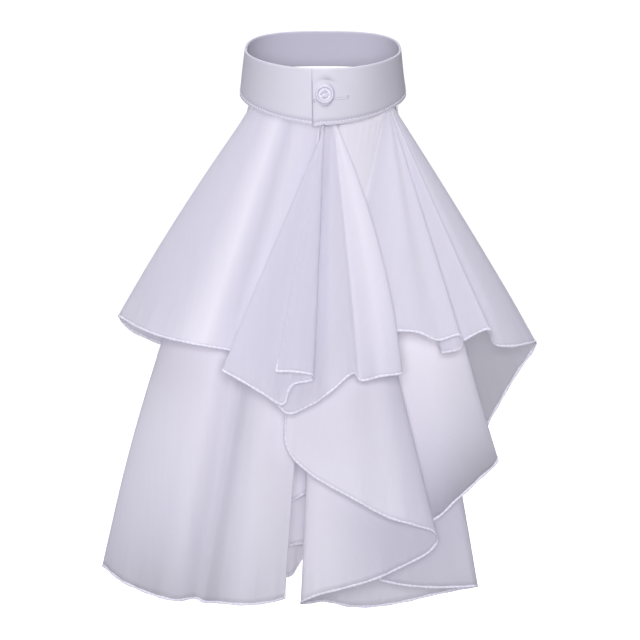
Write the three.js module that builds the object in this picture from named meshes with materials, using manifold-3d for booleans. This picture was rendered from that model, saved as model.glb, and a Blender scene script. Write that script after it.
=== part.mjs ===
import * as THREE from "three";
import { mergeVertices } from "three/addons/utils/BufferGeometryUtils.js";
import Module from "manifold-3d";

// Jabot: a buttoned stand collar with chiffon flounces hanging from the front of its lower edge.
// Millimetres, +Z up, the front of the collar faces -Y, the origin is the middle of the neck opening.

// Collar band, measured over its outside
const TOP_WIDTH = 120;
const TOP_DEPTH = 110;
const BOTTOM_WIDTH = 128;
const BOTTOM_DEPTH = 116;
const TOP_HEIGHT = 16.6;
const BOTTOM_HEIGHT = 17.9;
const TOP_TILT = 18;
const BOTTOM_TILT = 23.9;
const NECK_LEAN = 4;
const TOP_FRONT_CURVE = 1.85;
const BOTTOM_FRONT_CURVE = 1.7;
const BACK_CURVE = 2.8;
const BAND_WALL = 2;
const BAND_EDGE = 0.5;
const LAP_END = -9;
const LAP_LENGTH = 31;
const LAP_RAMP = 40;
const LAP_CORNER = 1.6;

// Button
const BUTTON_DIAMETER = 14;
const BUTTON_THICKNESS = 2.4;
const BUTTON_RIM = 1.8;
const BUTTON_DISH = 0.8;
const BUTTON_HOLE = 1.8;
const BUTTON_HOLE_SPACING = 3.6;
const BUTTON_AT = 1.6;
const BUTTON_UP = 0.55;

// Flounces
const HALF_SPREAD = 170;
const FOLD_DEPTH = 100;
const UPPER_DROP = 220;
const LOWER_DROP = 400;
const CLOTH = 1;
const HEM_WIDTH = 3;
const HEM_THICKNESS = 1.7;
const LAYER_PITCH = 2.2;
const GATHER = 0.75;
const CLEARANCE = 0.3;

// Mesh density
const BAND_STEPS = 84;
const FOLD_STEPS = 3;
const DROP_STEPS = 5;
const ROUND_STEPS = 32;

// Each row is one fold of a flounce. at: angle on the collar's lower edge in degrees, 0 at the front and
// positive to the right. layer: place in the seam, in layer pitches, positive outward. The hem point is
// side (share of HALF_SPREAD), out (share of FOLD_DEPTH, toward the front) and drop (share of the
// flounce's own drop). belly: how far the fold swells sideways halfway down, a share of HALF_SPREAD.
const COLUMNS = ["fold", "at", "layer", "side", "out", "drop", "belly"];

function rows(list) {
  return list.map((row) => Object.fromEntries(COLUMNS.map((name, i) => [name, row[i]])));
}

const LEFT_UPPER_FOLDS = rows([
  ["inner edge", -3.9, 0, -0.19, 0.69, 1.011, 0],
  ["rise", -14, 0.4, -0.295, 0.74, 0.989, 0],
  ["valley", -24, 0.4, -0.402, 0.7, 0.963, 0],
  ["ridge", -36, 0.4, -0.531, 0.77, 0.944, 0],
  ["flank", -46, 0.4, -0.684, 0.64, 0.922, 0],
  ["flank", -54, 0.4, -0.814, 0.42, 0.891, -0.01],
  ["corner", -58.5, 0.4, -0.907, 0.18, 0.856, -0.02],
  ["corner", -60, 0.4, -0.92, 0.08, 0.853, -0.02],
  ["back", -61.4, 0.5, -0.875, -0.04, 0.9, -0.02],
  ["back", -62.8, 0.5, -0.74, -0.09, 0.95, 0],
  ["side edge", -64.2, 0.5, -0.627, -0.08, 0.974, 0],
]);

const LEFT_LOWER_FOLDS = rows([
  ["slit edge", -3.5, -0.6, -0.171, 0.46, 1, 0],
  ["hem", -8, -0.5, -0.244, 0.54, 1.006, 0],
  ["ridge", -16, -0.4, -0.367, 0.6, 1.008, 0],
  ["flank", -24, -0.4, -0.466, 0.54, 1.006, 0],
  ["valley", -30, -0.4, -0.534, 0.44, 1.007, 0],
  ["valley", -36, -0.4, -0.565, 0.46, 1, -0.01],
  ["ridge", -44, -0.4, -0.651, 0.58, 1.001, -0.03],
  ["flank", -50, -0.4, -0.768, 0.52, 0.99, -0.05],
  ["flank", -54, -0.4, -0.899, 0.34, 0.971, -0.07],
  ["corner", -56, -0.4, -0.983, 0.14, 0.95, -0.075],
  ["corner", -57, -0.5, -0.99, 0.06, 0.949, -0.075],
  ["back", -58, -0.6, -0.912, -0.02, 0.948, -0.07],
  ["back", -59.2, -0.6, -0.717, -0.02, 0.937, -0.04],
  ["back", -60.4, -0.6, -0.53, 0, 0.915, -0.02],
  ["back", -61.6, -0.6, -0.403, 0.02, 0.816, 0],
  ["side edge", -62.8, -0.6, -0.303, 0.04, 0.777, 0],
]);

const CENTRE_FAN_FOLDS = rows([
  ["free edge", -0.4, 1.6, -0.204, 1.04, 1.027, 0],
  ["first", 0.4, 1.6, -0.117, 1.07, 1.029, 0],
  ["first fold", 1.2, 1.5, -0.044, 1.04, 1.04, 0],
  ["first fold", 1.6, 1.3, -0.048, 0.98, 1.058, 0],
  ["second", 1.9, 1.2, -0.135, 0.96, 1.075, 0],
  ["second", 2.2, 1.2, -0.174, 0.97, 1.139, 0],
  ["second", 2.5, 1.2, -0.265, 0.99, 1.101, 0],
  ["second", 2.8, 1.2, -0.361, 0.96, 1.058, 0],
  ["second fold", 3.2, 1, -0.441, 0.9, 1.024, 0],
  ["second fold", 3.7, 0.8, -0.398, 0.84, 1.03, 0],
  ["third", 4.4, 0.7, -0.267, 0.82, 1.075, 0],
  ["third", 5.4, 0.7, -0.158, 0.85, 1.172, 0],
  ["third", 6.8, 0.7, -0.079, 0.89, 1.154, 0],
  ["ridge", 8, 0.7, 0.03, 0.97, 1.098, 0],
  ["valley", 9, 0.75, 0.135, 0.9, 1.036, 0],
  ["valley curl", 9.4, 0.75, 0.166, 0.86, 1.061, 0.005],
  ["ridge", 10.4, 0.7, 0.256, 0.95, 1.045, 0.03],
  ["third fold", 11.4, 0.7, 0.344, 0.91, 1.037, 0.045],
  ["third fold", 11.8, 0.7, 0.331, 0.86, 1.033, 0.045],
  ["side edge", 12.2, 0.7, 0.222, 0.86, 1.013, 0.03],
]);

const RIGHT_UPPER_FOLDS = rows([
  ["side edge", 14.5, 0.5, -0.08, 0.76, 0.93, 0],
  ["under", 24, 0.5, 0, 0.745, 0.93, 0],
  ["under", 36, 0.45, 0.06, 0.73, 0.92, 0],
  ["under fold", 46, 0.4, 0.09, 0.72, 0.9, 0],
  ["left fold", 50, 0.4, 0.044, 0.76, 0.894, 0],
  ["front", 52, 0.4, 0.162, 0.765, 0.886, 0],
  ["front", 53.2, 0.4, 0.302, 0.765, 0.893, 0],
  ["front", 54, 0.4, 0.416, 0.765, 0.9, 0],
  ["dip", 54.6, 0.4, 0.5, 0.73, 0.927, 0],
  ["pinch", 55, 0.4, 0.602, 0.69, 0.911, 0],
  ["pinch", 55.3, 0.4, 0.608, 0.64, 0.953, 0],
  ["pinch", 55.6, 0.4, 0.525, 0.58, 0.971, 0],
  ["pinch", 56, 0.4, 0.615, 0.52, 0.934, 0],
  ["ridge", 56.5, 0.4, 0.734, 0.55, 0.892, 0],
  ["recess", 57, 0.4, 0.76, 0.42, 0.946, 0],
  ["flank", 57.6, 0.4, 0.842, 0.37, 0.953, 0],
  ["flank", 58.4, 0.4, 0.928, 0.22, 0.945, 0.01],
  ["corner", 59.4, 0.4, 0.963, 0.08, 0.944, 0.01],
  ["back", 60.1, 0.4, 0.938, -0.02, 0.987, 0],
  ["back", 60.6, 0.4, 0.867, -0.05, 1.069, 0],
  ["back", 61.1, 0.4, 0.802, -0.02, 1.156, 0],
  ["back", 61.6, 0.4, 0.736, 0.06, 1.245, 0],
  ["curl", 62.1, 0.4, 0.742, 0.16, 1.291, 0],
  ["curl", 62.6, 0.4, 0.78, 0.24, 1.351, 0],
  ["rising hem", 63.1, 0.4, 0.693, 0.33, 1.417, 0],
  ["rising hem", 63.6, 0.4, 0.589, 0.38, 1.488, 0],
  ["under", 64.1, 0.5, 0.513, 0.38, 1.543, 0],
  ["under", 64.6, 0.5, 0.41, 0.38, 1.577, 0],
  ["side edge", 65.1, 0.5, 0.276, 0.38, 1.605, 0],
]);

const RIGHT_CASCADE_FOLDS = rows([
  ["side edge", 0, 0.1, -0.15, 0.6, 0.612, 0],
  ["side hem", 0.6, 0.1, -0.164, 0.62, 0.646, 0],
  ["side hem", 1.3, 0.1, -0.168, 0.64, 0.683, 0],
  ["front", 2.2, 0.1, -0.146, 0.66, 0.722, 0],
  ["front", 4, 0.1, -0.053, 0.7, 0.761, 0],
  ["front", 6.6, 0.1, 0.118, 0.73, 0.803, 0],
  ["front", 9.4, 0.1, 0.295, 0.66, 0.844, 0],
  ["front", 11.2, 0.1, 0.402, 0.62, 0.858, 0],
  ["right fold", 12.2, -0.1, 0.492, 0.54, 0.873, 0],
  ["right fold", 12.6, -0.4, 0.506, 0.49, 0.891, 0],
  ["second", 12, -0.9, 0.475, 0.47, 0.911, 0],
  ["second", 10.6, -0.9, 0.364, 0.46, 0.938, 0],
  ["second", 8.6, -0.9, 0.231, 0.49, 0.963, 0],
  ["second", 6, -0.9, 0.097, 0.5, 0.98, 0],
  ["second", 3, -0.9, -0.022, 0.46, 0.994, 0],
  ["left fold", 0.4, -1.1, -0.098, 0.38, 1.01, 0],
  ["left fold", 0.4, -1.7, -0.081, 0.29, 1.015, 0],
  ["third", 8, -1.9, 0.009, 0.1, 1.016, 0],
  ["third", 19, -1.9, 0.123, -0.04, 1.03, 0],
  ["third", 31, -1.9, 0.237, -0.1, 1.032, 0],
  ["third", 43, -1.9, 0.374, -0.12, 1.023, 0],
  ["third", 53, -1.9, 0.555, -0.08, 1.004, 0],
  ["third", 62, -1.9, 0.666, 0.02, 0.992, 0],
  ["corner", 67, -1.6, 0.7, 0.1, 0.987, 0],
  ["corner", 67, -1.3, 0.68, 0.16, 0.986, 0],
  ["fourth", 66, -1.1, 0.599, 0.18, 0.987, 0],
  ["fourth", 65, -1.1, 0.481, 0.2, 0.987, 0],
  ["fourth", 64, -1.1, 0.369, 0.2, 0.983, 0],
  ["side edge", 63, -1.1, 0.256, 0.19, 0.974, 0],
]);

const INNER_FOLDS = rows([
  ["side edge", -12, -2.6, -0.222, 0.06, 0.847, 0],
  ["first hem", -7.5, -2.6, -0.145, 0.04, 0.826, 0],
  ["first hem", -3, -2.6, -0.054, 0, 0.804, 0],
  ["right fold", 2, -2.6, 0.059, -0.06, 0.783, 0],
  ["right fold", 3, -2.9, 0.069, -0.14, 0.866, 0],
  ["second hem", 0, -3.4, -0.064, -0.17, 0.908, 0],
  ["second hem", -4, -3.4, -0.146, -0.18, 0.916, 0],
  ["left fold", -8, -3.5, -0.215, -0.22, 0.93, 0],
  ["left fold", -8.6, -3.9, -0.211, -0.27, 0.974, 0],
  ["third hem", -5, -4.2, -0.147, -0.31, 0.977, 0],
  ["third hem", 1, -4.2, -0.078, -0.33, 0.931, 0],
  ["side edge", 8, -4.2, 0.042, -0.34, 0.871, 0],
]);

const rad = THREE.MathUtils.degToRad;

// Collar's outside: a point at an angle round the neck, up a share of the band's height, moved outward.
// Both rings are superellipses: blunt behind the neck and nearly straight-sided toward the front.
function bandPoint(angle, up, outward) {
  const { lerp } = THREE.MathUtils;
  const across = Math.sin(rad(angle));
  const along = Math.cos(rad(angle));
  const bluntness = along > 0 ? lerp(BOTTOM_FRONT_CURVE, TOP_FRONT_CURVE, up) : BACK_CURVE;
  const side = Math.sign(across) * Math.abs(across) ** (2 / bluntness);
  const front = Math.sign(along) * Math.abs(along) ** (2 / bluntness);
  const width = lerp(BOTTOM_WIDTH, TOP_WIDTH, up) / 2 + outward;
  const depth = lerp(BOTTOM_DEPTH, TOP_DEPTH, up) / 2 + outward;
  const low = -BOTTOM_HEIGHT - (BOTTOM_DEPTH / 2) * Math.tan(rad(BOTTOM_TILT)) * front;
  const high = TOP_HEIGHT - (TOP_DEPTH / 2) * Math.tan(rad(TOP_TILT)) * front;
  return new THREE.Vector3(
    width * side,
    lerp(NECK_LEAN, -NECK_LEAN, up) - depth * front,
    lerp(low, high, up),
  );
}

// How far the band lies outward of its own under end, along its whole sweep
function lapLift(turned, sweep) {
  const left = sweep - LAP_LENGTH - turned;
  const rise = THREE.MathUtils.smoothstep(LAP_RAMP - left, 0, LAP_RAMP);
  return rise * (BAND_WALL + CLEARANCE);
}

// Closed body through rings of points that all have the same even count. An end joins each point to its
// opposite one, so that a long curved end stays as thin as the wall.
function loft(rings) {
  const count = rings[0].length;
  const positions = rings.flatMap((ring) => ring.flatMap((p) => [p.x, p.y, p.z]));
  const index = [];
  for (let i = 0; i + 1 < rings.length; i += 1) {
    for (let j = 0; j < count; j += 1) {
      const next = (j + 1) % count;
      const a = i * count + j;
      const b = i * count + next;
      index.push(a, b, a + count, b, b + count, a + count);
    }
  }
  const last = (rings.length - 1) * count;
  for (let j = 0; j + 1 < count / 2; j += 1) {
    const k = count - 1 - j;
    index.push(j, k - 1, j + 1, j, k, k - 1);
    index.push(last + j, last + j + 1, last + k - 1, last + j, last + k - 1, last + k);
  }
  const geometry = new THREE.BufferGeometry();
  geometry.setAttribute("position", new THREE.Float32BufferAttribute(positions, 3));
  geometry.setIndex(index);
  geometry.computeVertexNormals();
  return geometry;
}

// Band: one strip that starts under the lap, goes round the neck and ends in the lap at the front
function collarBand() {
  const sweep = 360 + LAP_LENGTH;
  const rings = [];
  for (let i = 0; i <= BAND_STEPS; i += 1) {
    const turned = (sweep * i) / BAND_STEPS;
    const angle = LAP_END + LAP_LENGTH - turned;
    const lift = lapLift(turned, sweep);
    const lastSteps = THREE.MathUtils.smoothstep(turned, sweep - LAP_LENGTH / 4, sweep);
    const base = bandPoint(angle, 0, lift);
    const top = bandPoint(angle, 1, lift);
    base.z -= LAP_CORNER * lastSteps;
    const up = top.clone().sub(base).normalize();
    const round = bandPoint(angle + 1, 0.5, lift).sub(bandPoint(angle - 1, 0.5, lift)).normalize();
    const out = round.clone().cross(up).normalize();
    const at = (point, inward, rise) => point.clone().addScaledVector(out, -inward).addScaledVector(up, rise);
    rings.push([
      at(base, BAND_EDGE, 0),
      at(base, 0, BAND_EDGE),
      at(top, 0, -BAND_EDGE),
      at(top, BAND_EDGE, 0),
      at(top, BAND_WALL - BAND_EDGE, 0),
      at(top, BAND_WALL, -BAND_EDGE),
      at(base, BAND_WALL, BAND_EDGE),
      at(base, BAND_WALL - BAND_EDGE, 0),
    ]);
  }
  return loft(rings);
}

// Point of the seam just under the band's lower edge
function seamPoint(angle, layer) {
  const point = bandPoint(angle, 0, -BAND_WALL / 2 + layer * LAYER_PITCH);
  point.z -= CLEARANCE + CLOTH / 2;
  return point;
}

// Flounce: straight from the seam to its hem, with folds that open toward the hem
function flounce(folds, drop) {
  const hem = new THREE.CatmullRomCurve3(
    folds.map((f) => new THREE.Vector3(f.side * HALF_SPREAD, -f.out * FOLD_DEPTH, -f.drop * drop)),
    false,
    "centripetal",
  );
  const seam = new THREE.CatmullRomCurve3(
    folds.map((f) => new THREE.Vector3(f.at, f.layer, f.belly * HALF_SPREAD)),
    false,
    "centripetal",
  );
  const columns = (folds.length - 1) * FOLD_STEPS;
  const levels = [];
  for (let j = 0; j <= DROP_STEPS; j += 1) {
    levels.push((j / DROP_STEPS) * (1 - HEM_WIDTH / drop));
  }
  levels.push(1);
  const grid = [];
  for (let i = 0; i <= columns; i += 1) {
    const low = hem.getPoint(i / columns);
    const { x: at, y: layer, z: belly } = seam.getPoint(i / columns);
    const high = seamPoint(at, layer);
    grid.push(levels.map((v) => new THREE.Vector3(
      THREE.MathUtils.lerp(high.x, low.x, v) + belly * 4 * v * (1 - v),
      THREE.MathUtils.lerp(high.y, low.y, v ** GATHER),
      THREE.MathUtils.lerp(high.z, low.z, v),
    )));
  }
  return thicken(grid);
}

// Wall of cloth round a grid of points, thicker along the rolled hem
function thicken(grid) {
  const lastColumn = grid.length - 1;
  const lastLevel = grid[0].length - 1;
  const rings = grid.map((column, i) => {
    const before = grid[Math.max(i - 1, 0)];
    const after = grid[Math.min(i + 1, lastColumn)];
    const front = [];
    const back = [];
    column.forEach((point, j) => {
      const across = after[j].clone().sub(before[j]);
      const down = column[Math.min(j + 1, lastLevel)].clone().sub(column[Math.max(j - 1, 0)]);
      const normal = across.cross(down).normalize();
      const half = (j >= lastLevel - 1 ? HEM_THICKNESS : CLOTH) / 2;
      front.unshift(point.clone().addScaledVector(normal, half));
      back.push(point.clone().addScaledVector(normal, -half));
    });
    return [...front, ...back];
  });
  return loft(rings);
}

// Button: a dished disc with four holes for its thread
async function buttonShape() {
  const radius = BUTTON_DIAMETER / 2;
  const face = BUTTON_THICKNESS - BUTTON_DISH;
  const edge = BUTTON_RIM / 3;
  const outline = [
    [0, 0],
    [radius - edge, 0],
    [radius, edge],
    [radius, BUTTON_THICKNESS - edge],
    [radius - edge, BUTTON_THICKNESS],
    [radius - BUTTON_RIM + edge, BUTTON_THICKNESS],
    [radius - BUTTON_RIM - edge, face],
    [0, face],
  ].map(([x, y]) => new THREE.Vector2(x, y));
  const wasm = await Module();
  wasm.setup();
  const solid = (geometry) => {
    const plain = geometry.clone();
    plain.deleteAttribute("normal");
    plain.deleteAttribute("uv");
    const merged = mergeVertices(plain, 1e-4);
    return new wasm.Manifold(new wasm.Mesh({
      numProp: 3,
      vertProperties: new Float32Array(merged.attributes.position.array),
      triVerts: new Uint32Array(merged.index.array),
    }));
  };
  let body = solid(new THREE.LatheGeometry(outline, ROUND_STEPS));
  for (let k = 0; k < 4; k += 1) {
    const turn = rad(45 + 90 * k);
    const reach = BUTTON_HOLE_SPACING / Math.SQRT2;
    const hole = new THREE.CylinderGeometry(BUTTON_HOLE / 2, BUTTON_HOLE / 2, 4 * BUTTON_THICKNESS, 12);
    hole.translate(reach * Math.cos(turn), 0, reach * Math.sin(turn));
    body = body.subtract(solid(hole));
  }
  const mesh = body.getMesh();
  const geometry = new THREE.BufferGeometry();
  const points = [];
  for (let i = 0; i < mesh.numVert; i += 1) {
    points.push(...mesh.position(i));
  }
  geometry.setAttribute("position", new THREE.Float32BufferAttribute(points, 3));
  geometry.setIndex([...mesh.triVerts]);
  geometry.computeVertexNormals();
  return geometry;
}

function piece(name, geometry, material) {
  const mesh = new THREE.Mesh(geometry, material.clone());
  mesh.name = name;
  return mesh;
}

const cotton = new THREE.MeshStandardMaterial({ color: "#dddbe8", roughness: 0.85, metalness: 0 });
const chiffon = new THREE.MeshStandardMaterial({ color: "#e0ddec", roughness: 0.8, metalness: 0 });
const resin = new THREE.MeshStandardMaterial({ color: "#efeef4", roughness: 0.25, metalness: 0 });

const jabot = new THREE.Group();
jabot.add(piece("collar_band", collarBand(), cotton));
jabot.add(piece("flounce_left_upper", flounce(LEFT_UPPER_FOLDS, UPPER_DROP), chiffon));
jabot.add(piece("flounce_left_lower", flounce(LEFT_LOWER_FOLDS, LOWER_DROP), chiffon));
jabot.add(piece("flounce_centre_fan", flounce(CENTRE_FAN_FOLDS, UPPER_DROP), chiffon));
jabot.add(piece("flounce_right_upper", flounce(RIGHT_UPPER_FOLDS, UPPER_DROP), chiffon));
jabot.add(piece("flounce_right_cascade", flounce(RIGHT_CASCADE_FOLDS, LOWER_DROP), chiffon));
jabot.add(piece("flounce_inner", flounce(INNER_FOLDS, LOWER_DROP), chiffon));

const lapFace = BAND_WALL + CLEARANCE;
const seat = bandPoint(BUTTON_AT, BUTTON_UP, lapFace + CLEARANCE);
const rise = bandPoint(BUTTON_AT, 1, lapFace).sub(bandPoint(BUTTON_AT, 0, lapFace)).normalize();
const round = bandPoint(BUTTON_AT + 1, BUTTON_UP, 0).sub(bandPoint(BUTTON_AT - 1, BUTTON_UP, 0)).normalize();
const outward = round.clone().cross(rise).normalize();
const button = piece("collar_button", await buttonShape(), resin);
button.position.copy(seat);
button.quaternion.setFromUnitVectors(new THREE.Vector3(0, 1, 0), outward);
jabot.add(button);

export default jabot;
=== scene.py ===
"""Studio picture of a jabot: a buttoned stand collar with six chiffon flounces, dressed on its frame.

Sizes are millimetres until a mesh is made, +Z is up and the front of the collar faces -Y.
"""
import logging
import math
from dataclasses import dataclass
from enum import Enum

import bpy
import numpy as np
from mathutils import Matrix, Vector


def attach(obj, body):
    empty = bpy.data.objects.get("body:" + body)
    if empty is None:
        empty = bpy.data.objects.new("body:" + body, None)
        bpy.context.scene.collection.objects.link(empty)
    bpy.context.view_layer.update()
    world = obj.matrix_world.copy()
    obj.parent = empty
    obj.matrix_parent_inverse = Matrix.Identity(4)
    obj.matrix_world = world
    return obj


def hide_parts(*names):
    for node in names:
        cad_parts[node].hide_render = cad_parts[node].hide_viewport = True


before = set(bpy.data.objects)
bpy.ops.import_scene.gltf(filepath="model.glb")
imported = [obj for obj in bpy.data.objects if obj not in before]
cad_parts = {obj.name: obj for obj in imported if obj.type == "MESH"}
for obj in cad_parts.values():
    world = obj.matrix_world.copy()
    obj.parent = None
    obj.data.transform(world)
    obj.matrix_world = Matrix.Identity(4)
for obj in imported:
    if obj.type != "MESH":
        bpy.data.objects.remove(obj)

LOG = logging.getLogger("jabot")
Array = np.ndarray
Tree = bpy.types.NodeTree
Socket = bpy.types.NodeSocket
Material = bpy.types.Material
Piece = bpy.types.Object
WHITE = (1.0, 1.0, 1.0, 1.0)
MM = 0.001
BODY = "root"


class Held(Enum):
    """How a sheet of cloth is held."""

    GATHERED = "gathered"


class Slot(Enum):
    """Material slots."""

    BAND = "cotton_band"
    CLOTH = "chiffon"
    BUTTON = "button"


# Numbers and curves


def mix(low: Array | float, high: Array | float, share: Array | float) -> Array | float:
    """Returns the value a share of the way from low to high."""
    return low + (high - low) * share


def smooth(value: Array, start: float, end: float) -> Array:
    """Returns 0 before start and 1 after end, eased between by 3t^2 - 2t^3."""
    t = np.clip((value - start) / (end - start), 0.0, 1.0)
    return t * t * (3.0 - 2.0 * t)


def bell(value: Array, centre: Array | float, width: float) -> Array:
    """Returns a bell curve that is 1 at the centre: e^-((value - centre) / width)^2."""
    return np.exp(-(((value - centre) / width) ** 2))


def unit(vectors: Array) -> Array:
    """Returns the vectors at length one, along the last axis."""
    return vectors / np.maximum(np.linalg.norm(vectors, axis=-1, keepdims=True), 1e-9)


def run_length(points: Array) -> Array:
    """Returns the distance travelled along a line of points, from 0 at its first."""
    steps = np.linalg.norm(np.diff(points, axis=0), axis=1)
    return np.concatenate([[0.0], np.cumsum(steps)])


def centripetal(points: Array, steps: int) -> Array:
    """Smooth curve through points, with no loops at close ones.

    Each span is the cubic from one point to the next whose end slopes weigh the neighbouring spans by the
    square roots of their lengths. The first and last points are mirrored to give the ends a neighbour.

    Args:
        points: the points, one per row.
        steps: samples in each span.

    Returns:
        The samples, one per row, both ends included.
    """
    p = np.vstack([2 * points[0] - points[1], points, 2 * points[-1] - points[-2]])
    gap = np.sqrt(np.linalg.norm(np.diff(p, axis=0), axis=1))[:, None]
    before, span, after = gap[:-2], gap[1:-1], gap[2:]
    p0, p1, p2, p3 = p[:-3], p[1:-2], p[2:-1], p[3:]
    leave = ((p1 - p0) / before - (p2 - p0) / (before + span) + (p2 - p1) / span) * span
    arrive = ((p2 - p1) / span - (p3 - p1) / (span + after) + (p3 - p2) / after) * span
    t = (np.arange(steps) / steps)[None, :, None]
    p1, p2, leave, arrive = p1[:, None], p2[:, None], leave[:, None], arrive[:, None]
    square = -3 * p1 + 3 * p2 - 2 * leave - arrive
    cube = 2 * p1 - 2 * p2 + leave + arrive
    spans = p1 + leave * t + square * t**2 + cube * t**3
    return np.vstack([spans.reshape(-1, points.shape[1]), points[-1]])


def spaced(line: Array, pitch: float, *others: Array) -> list[Array]:
    """Takes a line of points, and values that go with it, at an even pitch along its length.

    Args:
        line: the points.
        pitch: the distance between the new points.
        others: rows of values, one for each point.

    Returns:
        The distance along the line, the new points and the new values.
    """
    along = run_length(line)
    count = max(int(along[-1] / pitch), 2)
    at = np.linspace(0.0, along[-1], count + 1)
    taken = [np.stack([np.interp(at, along, c) for c in rows.T], axis=1) for rows in (line, *others)]
    return [at, *taken]


# Meshes


def make_object(
    name: str, points: Array, faces: list, uv: Array | None = None, painted_shading: Array | None = None) -> Piece:
    """Makes a smooth-shaded mesh object at the origin.

    Args:
        name: the piece's name.
        points: corners in millimetres.
        faces: corner numbers of each face, outside seen anticlockwise.
        uv: a pattern coordinate for each corner, in metres.
        painted_shading: painted light and shade at each corner, on the chiffon folds and on the band.

    Returns:
        The linked object.
    """
    mesh = bpy.data.meshes.new(name)
    mesh.from_pydata((points.reshape(-1, 3) * MM).tolist(), [], [list(map(int, f)) for f in faces])
    mesh.polygons.foreach_set("use_smooth", np.ones(len(mesh.polygons), dtype=bool))
    if uv is not None:
        corner = np.empty(len(mesh.loops), dtype=np.int32)
        mesh.loops.foreach_get("vertex_index", corner)
        layer = mesh.uv_layers.new(name="cloth")
        layer.data.foreach_set("uv", uv.reshape(-1, 2)[corner].astype(np.float32).ravel())
    if painted_shading is not None:
        layer = mesh.attributes.new("painted_shading", "FLOAT", "POINT")
        layer.data.foreach_set("value", painted_shading.astype(np.float32).ravel())
    mesh.update()
    obj = bpy.data.objects.new(name, mesh)
    bpy.context.scene.collection.objects.link(obj)
    return obj


def dress(piece: Piece, material: Material) -> None:
    """Gives a piece its material and slot, lets it ride on the part's one body, and reports it."""
    piece.data.materials.append(material)
    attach(piece, BODY)
    LOG.info("%s: %d faces", piece.name, len(piece.data.polygons))


def grid_faces(columns: int, rows: int, wrap: bool = False) -> Array:
    """Quads of a grid stored column by column.

    Args:
        columns: how many columns.
        rows: corners in a column.
        wrap: whether the last row joins the first, as round a tube.

    Returns:
        One row of four corner numbers for each quad.
    """
    i = np.arange(columns - 1)[:, None]
    j = np.arange(rows if wrap else rows - 1)[None, :]
    after = (j + 1) % rows
    quads = [i * rows + j, i * rows + after, (i + 1) * rows + after, (i + 1) * rows + j]
    return np.stack([q + 0 * (i + j) for q in quads], axis=-1).reshape(-1, 4)


def tube(centres: Array, wide: Array, thick: Array, half_wide: Array, half_thick: Array, sides: int) -> Array:
    """Corners of an oval tube along a line: centre + cos(a) half_wide wide + sin(a) half_thick thick.

    Args:
        centres: the line's points.
        wide: unit direction of the oval's long way at each point.
        thick: unit direction of its short way.
        half_wide: half of the long way at each point.
        half_thick: half of the short way.
        sides: corners round the oval.

    Returns:
        Corners, point by point round the tube.
    """
    a = np.linspace(0.0, 2 * np.pi, sides, endpoint=False)
    reach = np.cos(a)[None, :, None] * (wide * half_wide[:, None])[:, None, :]
    lift = np.sin(a)[None, :, None] * (thick * half_thick[:, None])[:, None, :]
    return centres[:, None, :] + reach + lift


def threads(centres: Array, along: Array, out: Array, length: float, radius: float) -> tuple[Array, Array]:
    """Short sewing-thread stitches that dip into the cloth at both ends.

    Each is a six-sided tube: its radius follows the square root of 1 - t^4 and its middle line a bow of
    about the thread's radius, for t from -1 to 1 along the stitch.

    Args:
        centres: the middle of each stitch, on the cloth.
        along: unit direction of each stitch.
        out: unit direction off the cloth.
        length: length of a stitch.
        radius: half of the thread.

    Returns:
        The corners and the quads of all stitches.
    """
    t = np.linspace(-1.0, 1.0, 7)
    girth = radius * np.sqrt(np.maximum(1 - t**4, 0.02))
    a = np.linspace(0.0, 2 * np.pi, 6, endpoint=False)
    side = np.cross(out, along)
    middle = centres[:, None] + along[:, None] * (t * length / 2)[None, :, None]
    middle = middle + out[:, None] * (radius * (0.9 - 1.1 * t**2))[None, :, None]
    ring = (
        np.cos(a)[None, None, :, None] * side[:, None, None]
        + np.sin(a)[None, None, :, None] * out[:, None, None]
    )
    corners = middle[:, :, None] + ring * girth[None, :, None, None]
    one = grid_faces(7, 6, wrap=True)
    faces = one[None] + (np.arange(len(centres)) * 42)[:, None, None]
    return corners.reshape(-1, 3), faces.reshape(-1, 4)[:, ::-1]


# Finishes


def linear(colour: str) -> tuple[float, float, float, float]:
    """Turns an sRGB hex colour into the linear one that shaders take."""
    parts = [int(colour[i : i + 2], 16) / 255 for i in (1, 3, 5)]
    return (*(c / 12.92 if c <= 0.04045 else ((c + 0.055) / 1.055) ** 2.4 for c in parts), 1.0)


def add(tree: Tree, kind: str, links: dict | None = None, **settings: object) -> bpy.types.Node:
    """Adds a shader node.

    Args:
        tree: the node tree.
        kind: the node's type without its ShaderNode prefix.
        links: input name or number to an output socket, or to a plain value.
        settings: the node's own properties.

    Returns:
        The node.
    """
    node = tree.nodes.new("ShaderNode" + kind)
    for key, value in settings.items():
        setattr(node, key, value)
    for key, value in (links or {}).items():
        if isinstance(value, Socket):
            tree.links.new(value, node.inputs[key])
        else:
            node.inputs[key].default_value = value
    return node


def blend(tree: Tree, share: Socket, low: str | Socket, high: str | Socket) -> Socket:
    """Returns the socket of a colour that goes from low to high, each a hex colour or a socket."""
    ends = {key: linear(end) if isinstance(end, str) else end for key, end in ((6, low), (7, high))}
    return add(tree, "Mix", {0: share, **ends}, data_type="RGBA").outputs[2]


def maths(tree: Tree, operation: str, *values: float | Socket) -> Socket:
    """Returns the socket of a sum, named as Blender names it, on numbers and sockets."""
    return add(tree, "Math", dict(enumerate(values)), operation=operation).outputs[0]


def mixed(tree: Tree, share: float | Socket, first: bpy.types.Node, second: bpy.types.Node) -> bpy.types.Node:
    """Returns a shader that goes from the first to the second as the share grows from 0 to 1."""
    return add(tree, "MixShader", {0: share, 1: first.outputs[0], 2: second.outputs[0]})


def bump(tree: Tree, height: Socket, strength: float, distance: float, **under: Socket) -> Socket:
    """Returns the socket of normals bent by a height, a distance in metres, over those given as Normal."""
    links = {"Height": height, "Strength": strength, "Distance": distance, **under}
    return add(tree, "Bump", links).outputs["Normal"]


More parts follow.
